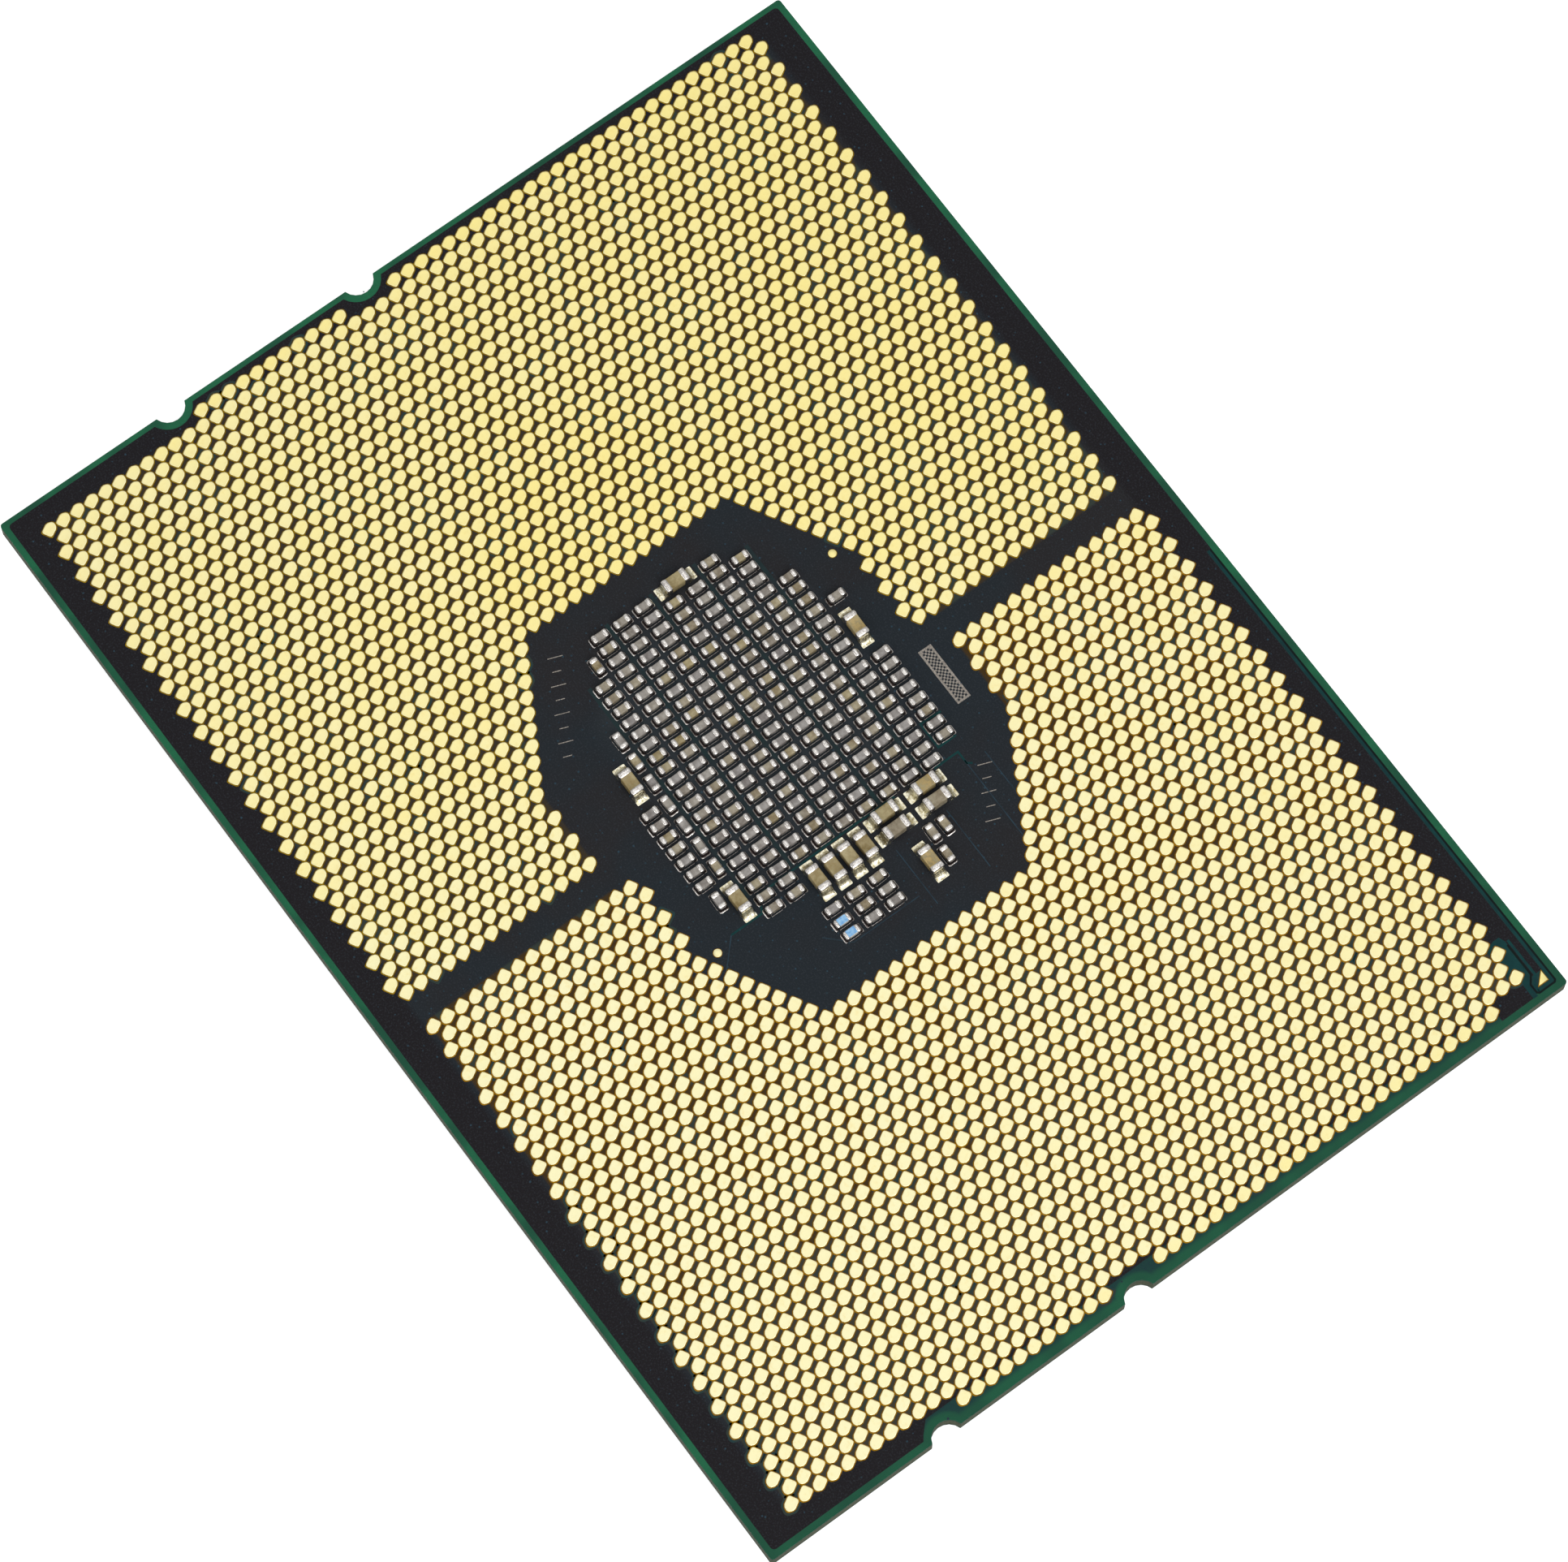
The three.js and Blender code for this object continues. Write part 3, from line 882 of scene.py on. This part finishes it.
# Beside the capacitors: a box round two of them, and the line that bounds their supply plane.
supplyBox = [(3.69, 9.15), (3.63, 7.72), (5.38, 7.72), (5.38, 9.0)]
supplyTop = [(6.26, 6.75), (6.26, 8.47), (7.1, 8.47), (7.3, 8.75)]
supplySide = [(6.26, 3.9), (6.26, 1.4), (6.4, -5.9), (7.4, -6.4), (7.4, -8.6)]
faintRoutes = [
    [(6.9, 8.47), (12.6, 8.47)],
    [(7.15, 9.74), (11.4, 9.74)],
    [(8.7, 5.82), (12.9, 5.82)],
    [(8.9, 2.05), (12.9, 2.05)],
    [(11.9, 1.5), (11.9, -3.2), (10.6, -4.5)],
    [(7.4, -8.6), (9.3, -10.4)],
]


def supplyStripes(setup):
    # bare gaps between the supply planes, under every second space between capacitor rows
    routes = []
    for upper in (2, 4, 6, 8, 10):
        following = f"capacitor_row_{upper + 1:02d}" + ("_lying" if upper == 10 else "")
        lowA, highA = nodeBox(f"capacitor_row_{upper:02d}")
        lowB, highB = nodeBox(following)
        y = (lowA.y + highB.y) / 2
        west = min(lowA.x, lowB.x) - setup["stripeWestOverhang"]
        routes.append([(west, y), (min(highA.x, setup["stripeEastEnd"]), y)])
    return routes


def makeTraces(setup):
    high = setup["thickness"]
    stripes = [ribbon(route, setup["stripeWidth"]) for route in supplyStripes(setup)]
    teal = [ribbon(route, setup["tealWidth"]) for route in (pinTrace, pinReturn)] + [pinClearing]
    teal += [ribbon(route, setup["boxWidth"]) for route in (supplyBox, supplyTop, supplySide)]
    faint = [ribbon(route, setup["faintWidth"]) for route in faintRoutes]
    line = [ribbon(pinLine, setup["lineWidth"])]
    for name, finishName, outlines, thickness in [
        ("supplyStripes", "stripe", stripes, setup["stripeThickness"]),
        ("tealTraces", "teal", teal, high),
        ("buriedTraces", "faint", faint, high),
        ("pinOneGap", "line", line, setup["lineThickness"]),
    ]:
        form = Form()
        for outline in outlines:
            form.prism(outline, maskBase, landPlane + thickness)
        form.piece(name, [finishName])


makeTraces(traceSetup)

haloSetup = {
    "growth": 0.12,
    "thickness": 0.0075,
    "southReach": 0.9,  # bottom-row lands east of haloEast get a clearance ring
    "haloEast": 14.0,
    "share": 0.04,
}


def makeHalos(setup):
    # clearance rings round the lands whose nets don't join the plane
    pick = random.Random("halos")
    outline = landOutline(landShape, -setup["growth"])
    form = Form()
    lowest = min(y for _, y in eastPlaces)
    for places, turn in [(westPlaces, landShape["westTurn"]), (eastPlaces, landShape["eastTurn"])]:
        for x, y in places:
            edgeRow = y < lowest + setup["southReach"] and x > setup["haloEast"]
            if edgeRow or pick.random() < setup["share"]:
                ring = placed(outline, x, y, math.radians(turn))
                form.prism(ring, maskBase, landPlane + setup["thickness"])
    form.piece("clearanceRings", ["ring"])


makeHalos(haloSetup)

viaSetup = {
    "seed": "vias",
    "pitch": 0.82,
    "jitter": 0.38,
    "share": 0.8,
    "radius": (0.045, 0.085),
    "height": 0.009,
    "edgeX": 0.6,
    "edgeY": 0.9,
    "landReach": 0.62,
}


def makeVias(setup):
    # small filled vias, each a low dimple under the mask
    pick = random.Random(setup["seed"])
    form = Form()
    countX = int(packageX / setup["pitch"])
    countY = int(packageY / setup["pitch"])
    for i in range(-countX, countX + 1):
        for j in range(-countY, countY + 1):
            x = i * setup["pitch"] + pick.uniform(-1, 1) * setup["jitter"]
            y = j * setup["pitch"] + pick.uniform(-1, 1) * setup["jitter"]
            radius = pick.uniform(*setup["radius"])
            shown = pick.random() < setup["share"]
            inside = abs(x) < packageX - setup["edgeX"] and abs(y) < packageY - setup["edgeY"]
            if not shown or not inside or nearLand(x, y, setup["landReach"]):
                continue
            profile = [(1.0, -0.001), (0.8, setup["height"] * 0.8), (0.35, setup["height"])]
            rings = [level(arc(x, y, radius * share, 0, 315, 7), landPlane + z) for share, z in profile]
            form.loft(rings, 0)
    form.piece("maskedVias", ["faint"])


makeVias(viaSetup)
print("mask and traces made")

def makeMarks():
    low, high = nodeBox("pin_one_mark")
    rings = []
    for inset, height in [(0.0, low.z - 0.001), (0.012, high.z - 0.01), (0.045, high.z)]:
        outline = [
            (low.x + inset * 2.4, high.y - inset),
            (high.x - inset, low.y + inset * 2.4),
            (high.x - inset, high.y - inset),
        ]
        rings.append(level(outline, height))
    form = Form()
    # the sides take the brown painted shade of the land edges, here and on the fiducial dots
    form.loft(rings, [1, 1, 1, 0], 0.35)
    mark = form.piece("pinOneTriangle", ["gold", "goldEdge"], 25)
    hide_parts("pin_one_mark")
    for side in ("northwest", "southeast"):
        low, high = nodeBox(f"fiducial_{side}")
        x = (low.x + high.x) / 2
        y = (low.y + high.y) / 2
        radius = (high.x - low.x) / 2
        profile = [(0.0, low.z - 0.001), (0.01, high.z - 0.01), (0.035, high.z)]
        dot = Form()
        rings = [level(arc(x, y, radius - inset, 0, 350, 35), height) for inset, height in profile]
        dot.loft(rings, [1, 1, 1, 0], 0.4)
        made = dot.piece(f"fiducialDot{side.capitalize()}", ["gold", "goldEdge"], 25)
        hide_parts(f"fiducial_{side}")


makeMarks()

markSetup = {
    "patchX": (0.05, 3.95),
    "patchY": (10.22, 11.22),
    "cell": 0.13,
    "height": 0.0085,
    "tickWidth": 0.05,
    "tickLean": (0.16, 0.42),
    "shortTick": 0.6,
    "tickRows": [
        {"start": (7.75, 9.3), "step": (0.75, -0.42), "count": 5},
        {"start": (-12.2, -6.9), "step": (0.76, -0.42), "count": 8},
    ],
}


def makeLaserMarks(setup):
    # a plain hatched patch that holds no code, and two rows of ticks that hold no lettering
    form = Form()
    high = landPlane + setup["height"]
    lowX, highX = setup["patchX"]
    lowY, highY = setup["patchY"]
    cell = setup["cell"]
    columns = int((highX - lowX) / cell)
    rows = int((highY - lowY) / cell)
    for row in range(rows):
        for column in range(columns):
            rim = row in (0, rows - 1) or column in (0, columns - 1)
            if rim or (row + column) % 2 == 0:
                x = lowX + (column + 0.5) * cell
                y = lowY + (row + 0.5) * cell
                form.prism(roundedBox(cell * 1.02, cell * 1.02, 0.02, 1, x, y), maskBase, high)
    form.piece("hatchedMark", ["etched"])
    ticks = Form()
    leanX, leanY = setup["tickLean"]
    for row in setup["tickRows"]:
        for i in range(row["count"]):
            x = row["start"][0] + row["step"][0] * i
            y = row["start"][1] + row["step"][1] * i
            scale = setup["shortTick"] if i % 2 else 1.0
            route = [(x - leanX * scale, y - leanY * scale), (x + leanX * scale, y + leanY * scale)]
            ticks.prism(ribbon(route, setup["tickWidth"]), maskBase, high)
    ticks.piece("tickMarks", ["etched"])


makeLaserMarks(markSetup)
print("marks made")

smallChip = {
    "solid": (1.0, 0.5),  # its plain solid's length and width
    "pitches": (0.87, 1.568),  # in an upright row, and in one that lies
    "length": 1.02,
    "width": 0.51,
    "height": 0.51,
    "end": 0.27,
    "swell": 0.010,
    "step": 0.016,
    "corner": 0.065,
    "cornerSteps": 2,
    "padOut": 0.155,
    "padSide": 0.095,
    "climb": 0.34,
    "beadOut": 0.075,
    "beadWidth": 0.045,
    "beadHeight": 0.025,
    "rowMargin": 0.06,
}

resistor = dict(smallChip, height=0.35, end=0.22, climb=0.26)

largeChip = {
    "length": 1.62,
    "width": 0.81,
    "height": 0.80,
    "end": 0.36,
    "swell": 0.012,
    "step": 0.018,
    "corner": 0.08,
    "cornerSteps": 2,
    "padOut": 0.46,
    "padSide": 0.01,
    "climb": 0.46,
}


class ChipPlace:
    # where a chip stands; its own length runs along u
    def __init__(self, x, y, turn):
        self.x = x
        self.y = y
        self.turn = turn

    def point(self, u, v, height):
        c = math.cos(self.turn)
        s = math.sin(self.turn)
        return (self.x + c * u - s * v, self.y + s * u + c * v, landPlane + height)


def chipRing(place, spec, u, inset):
    # a rounded section across the chip, anticlockwise seen from its +u end
    middle = spec["height"] / 2
    wide = spec["width"] - 2 * inset
    tall = spec["height"] - 2 * inset
    section = roundedBox(wide, tall, spec["corner"] * 0.9, spec["cornerSteps"])
    return [place.point(u, v, middle + w) for v, w in section]


def chipBody(form, place, spec, bodySlots, tone):
    # plated ends that swell a little, with the ceramic set back between them
    metal, ceramic = bodySlots
    half = spec["length"] / 2
    end = spec["end"]
    cap = [(0.0, 0.060), (0.014, 0.028), (0.045, 0.006)]
    cap += [(end * 0.45, -spec["swell"] * 0.5), (end * 0.8, 0.002), (end, spec["step"])]
    rings = [chipRing(place, spec, -half + u, inset) for u, inset in cap]
    rings.append(chipRing(place, spec, -half + end + 0.004, spec["step"] + 0.004))
    rings.append(chipRing(place, spec, half - end - 0.004, spec["step"] + 0.004))
    rings += [chipRing(place, spec, half - u, inset) for u, inset in reversed(cap)]
    form.loft(rings, [metal] * 7 + [ceramic] + [metal] * 7, tone)


def solderFillet(form, place, spec, side, slot, pick):
    # solder climbs the end face in a hollow curve from its pad
    half = spec["length"] / 2
    inner = half - spec["end"] * 0.6
    climb = spec["climb"]
    out = spec["padOut"]
    wide = spec["padSide"]
    # the last number of each step is its tone: 1 for the plain solder of the toe, near 0 for painted shade
    # up in the hollow
    steps = [
        (0.0, out, wide, 1.0),
        (0.014, out * 0.98, wide * 0.98, 1.0),
        (0.03, out * 0.8, wide * 0.74, 0.9),
        (0.07, out * 0.52, wide * 0.42, 0.05),
        (climb * 0.6, out * 0.22, 0.006, 0.05),
        (climb, 0.012, -0.03, 0.5),
    ]
    rings = []
    for height, reach, wider, _ in steps:
        outer = half + reach * (1 + pick.uniform(-0.06, 0.06))
        waist = spec["width"] / 2 + wider * 0.25
        edge = spec["width"] / 2 + wider
        cut = min(0.16, (outer - inner) * 0.45)
        section = [(inner, -waist, 0.02, 1), (outer, -edge, cut, 2)]
        section += [(outer, edge, cut, 2), (inner, waist, 0.02, 1)]
        rings.append([place.point(side * u, side * v, height) for u, v in softened(section)])
    form.loft(rings, slot, [shade for _, _, _, shade in steps])


def smallCapacitor(form, x, y, lying, pick, tanBias, spec=smallChip, slots=(0, 1, 2)):
    turn = 0.0 if lying else math.pi / 2
    turn += math.radians(pick.gauss(0, 0.9))
    place = ChipPlace(x + pick.gauss(0, 0.012), y + pick.gauss(0, 0.015), turn)
    tone = min(max(pick.betavariate(1.3, 1.7) + tanBias, 0.0), 1.0)
    chipBody(form, place, spec, slots[:2], tone)
    for side in (-1, 1):
        solderFillet(form, place, spec, side, slots[2], pick)
        fluxBead(form, place, spec, side, slots[2])


def fluxBead(form, place, spec, side, slot):
    # the thin pale line that flux leaves along each long side, from pad to pad
    reach = spec["length"] / 2 - spec["end"] * 0.5
    middle = side * (spec["width"] / 2 + spec["beadOut"])
    rings = []
    for height, share in [(-0.001, 1.0), (spec["beadHeight"] * 0.7, 0.8), (spec["beadHeight"], 0.3)]:
        outline = roundedBox(2 * reach, spec["beadWidth"] * share, 0.004, 1, 0.0, middle)
        rings.append([place.point(u, v, height) for u, v in outline])
    form.loft(rings, slot, 0.5)


def chipPlaces(node, lying):
    # a row's first and last chips stand a fixed margin inside the box of its solid
    low, high = nodeBox(node)
    along, across = smallChip["solid"]
    reach = (along if lying else across) / 2 + smallChip["rowMargin"]
    span = high.x - low.x - 2 * reach
    count = round(span / smallChip["pitches"][lying]) + 1
    y = (low.y + high.y) / 2
    step = span / (count - 1) if count > 1 else 0.0
    return [(low.x + reach + step * i, y) for i in range(count)]


uprightRows = [f"capacitor_row_{number:02d}" for number in (*range(1, 11), 12)]
uprightRows += [f"capacitor_block_row_{number}" for number in range(1, 4)]
uprightRows += ["capacitor_north"]
lyingRows = ["capacitor_row_11_lying", "capacitor_west", "capacitor_east_upper"]
lyingRows += ["capacitor_east_middle", "capacitor_east_outer", "capacitor_south"]


def camelName(node):
    words = node.replace("row_0", "row_").split("_")
    return words[0] + "".join(word.capitalize() for word in words[1:])


def makeSmallCapacitors():
    count = 0
    for lying, nodes in [(False, uprightRows), (True, lyingRows)]:
        for node in nodes:
            form = Form()
            pick = random.Random(node)
            for x, y in chipPlaces(node, lying):
                smallCapacitor(form, x, y, lying, pick, -0.1 - x * 0.012)
                count += 1
            name = camelName(node) + "Chips"
            made = form.piece(name, ["tin", "ceramic", "solder"], 50)
            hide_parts(node)
    return count


print("small capacitors made:", makeSmallCapacitors())


def makeResistors():
    # a blue film printed on a white alumina slab, between bright ends
    for node in ("resistor_inner", "resistor_outer"):
        form = Form()
        pick = random.Random(node)
        x, y = chipPlaces(node, False)[0]
        smallCapacitor(form, x, y, False, pick, 0.0, resistor)
        filmX = resistor["width"] * 0.86
        filmY = resistor["length"] - 2 * resistor["end"] + 0.02
        top = landPlane + resistor["height"] - resistor["step"]
        outline = roundedBox(filmX, filmY, 0.03, 2, x, y)
        form.prism(outline, top - 0.03, top + 0.012, 3)
        finishNames = ["tin", "alumina", "solder", "film"]
        made = form.piece(camelName(node) + "Chip", finishNames, 50)
        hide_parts(node)


makeResistors()


def makeLargeCapacitors():
    greyOnes = {"large_capacitor_04", "large_capacitor_06"}
    nodes = sorted(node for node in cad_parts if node.startswith("large_capacitor_"))
    for node in nodes:
        low, high = nodeBox(node)
        lying = high.x - low.x > high.y - low.y
        form = Form()
        pick = random.Random(node)
        place = ChipPlace((low.x + high.x) / 2, (low.y + high.y) / 2, 0.0 if lying else math.pi / 2)
        place.turn += math.radians(pick.gauss(0, 0.8))
        tone = pick.uniform(0.5, 0.7) if node in greyOnes else pick.uniform(1.2, 1.6)
        chipBody(form, place, largeChip, (0, 1), tone)
        span = max(high.x - low.x, high.y - low.y)
        for side in (-1, 1):
            padOutline(form, place, span, side)
            solderFillet(form, place, largeChip, side, 2, pick)
        made = form.piece(camelName(node) + "Chip", ["tin", "ceramic", "cream"], 50)
        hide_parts(node)
    return len(nodes)


def padOutline(form, place, span, side, length=0.62, width=0.82, thickness=0.03):
    outline = roundedBox(length, width, 0.05, 2, side * (span - length) / 2, 0.0)
    form.loft([[place.point(u, v, z) for u, v in outline] for z in (-0.001, thickness)], 2, 0.5)


print("large capacitors made:", makeLargeCapacitors())

nodeFinishes = {
    "heat_spreader": "nickel",
    "lid_sealant": "sealant",
    "thermal_interface": "indium",
    "silicon_die": "silicon",
    "solder_bump_layer": "bumps",
    "underfill": "epoxy",
    "die_side_capacitors_north": "ceramicPlain",
    "die_side_capacitors_south": "ceramicPlain",
    "solder_mask_die_side": "green",
    "buildup_die_side": "buildup",
    "substrate_core": "core",
    "buildup_land_side": "buildup",
    "solder_mask_land_side": "green",
}

lidEdges = {"weld": 0.001, "bevel": 0.12, "segments": 3, "angle": 30}


def dressNodes():
    for node, finishName in nodeFinishes.items():
        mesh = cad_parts[node].data
        mesh.materials.clear()
        mesh.materials.append(finishes[finishName])
    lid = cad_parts["heat_spreader"]
    weld = lid.modifiers.new("weld", "WELD")
    weld.merge_threshold = lidEdges["weld"] * mm
    bevel = lid.modifiers.new("roundedEdges", "BEVEL")
    bevel.width = lidEdges["bevel"] * mm
    bevel.segments = lidEdges["segments"]
    bevel.limit_method = "ANGLE"
    bevel.angle_limit = math.radians(lidEdges["angle"])
    bevel.harden_normals = False


dressNodes()
print("packed solids finished")

studio = {
    "floorSize": 3000.0,
    "floor": rgb(250, 250, 250),
    "floorDull": rgb(244, 244, 245),
    "floorGap": 0.02,  # under the object
    "floorGlow": 0.6,
    "skyTop": 0.5,
    "skyLow": 0.42,
    "softboxes": [
        # azimuth and height above the horizon in degrees, distance and size in mm, brightness
        {"azimuth": 143, "height": 74, "distance": 900, "size": 620, "bright": 0.68},
        {"azimuth": -95, "height": 40, "distance": 800, "size": 360, "bright": 1.8},
        {"azimuth": -6, "height": 54, "distance": 800, "size": 540, "bright": 3.6},
    ],
}


def makeFloor(setup):
    finish = Finish("paleFloor")
    place = finish.place()
    cloud = finish.noise(place, 60.0, 2.0)
    shade = finish.mix(cloud, setup["floor"], setup["floorDull"])
    material = finish.surface(
        Base_Color=shade,
        Roughness=0.8,
        Specular_IOR_Level=0.1,
        Emission_Color=shade,
        Emission_Strength=setup["floorGlow"],
    )
    half = setup["floorSize"] / 2 * mm
    mesh = bpy.data.meshes.new("floor")
    corners = [(-half, -half), (half, -half), (half, half), (-half, half)]
    under = cadLow.z - setup["floorGap"] * mm
    mesh.from_pydata([(x, y, under) for x, y in corners], [], [(0, 1, 2, 3)])
    mesh.materials.append(material)
    floor = bpy.data.objects.new("floor", mesh)
    bpy.context.scene.collection.objects.link(floor)


def makeSky(setup):
    # a plain dome, brighter overhead than at the horizon
    world = bpy.data.worlds.new("studioDome")
    bpy.context.scene.world = world
    dome = Finish("studioDome", world)
    towards = dome.node("ShaderNodeTexCoord", output="Generated")
    rise = dome.node("ShaderNodeSeparateXYZ", None, {0: towards}, "Z")
    values = {"Value": rise, "From Max": 0.9, "To Min": setup["skyLow"], "To Max": setup["skyTop"]}
    strength = dome.node("ShaderNodeMapRange", None, values)
    white = (1.0, 1.0, 1.0, 1.0)
    glow = dome.node("ShaderNodeBackground", None, {"Color": white, "Strength": strength})
    dome.node("ShaderNodeOutputWorld", None, {"Surface": glow})


def makeSoftboxes(setup):
    for number, box in enumerate(setup["softboxes"], 1):
        data = bpy.data.lights.new(f"softbox{number}", "AREA")
        data.shape = "SQUARE"
        data.size = box["size"] * mm
        data.energy = box["bright"] * math.pi * data.size ** 2
        lamp = bpy.data.objects.new(f"softbox{number}", data)
        bpy.context.scene.collection.objects.link(lamp)
        side = math.radians(box["azimuth"])
        up = math.radians(box["height"])
        towards = Vector((math.cos(side) * math.cos(up), math.sin(side) * math.cos(up), math.sin(up)))
        lamp.location = towards * box["distance"] * mm
        lamp.rotation_mode = "QUATERNION"
        lamp.rotation_quaternion = (-towards).to_track_quat("-Z", "Y")


makeFloor(studio)
makeSky(studio)
makeSoftboxes(studio)
bpy.context.scene.view_settings.view_transform = "Standard"
print("studio made")
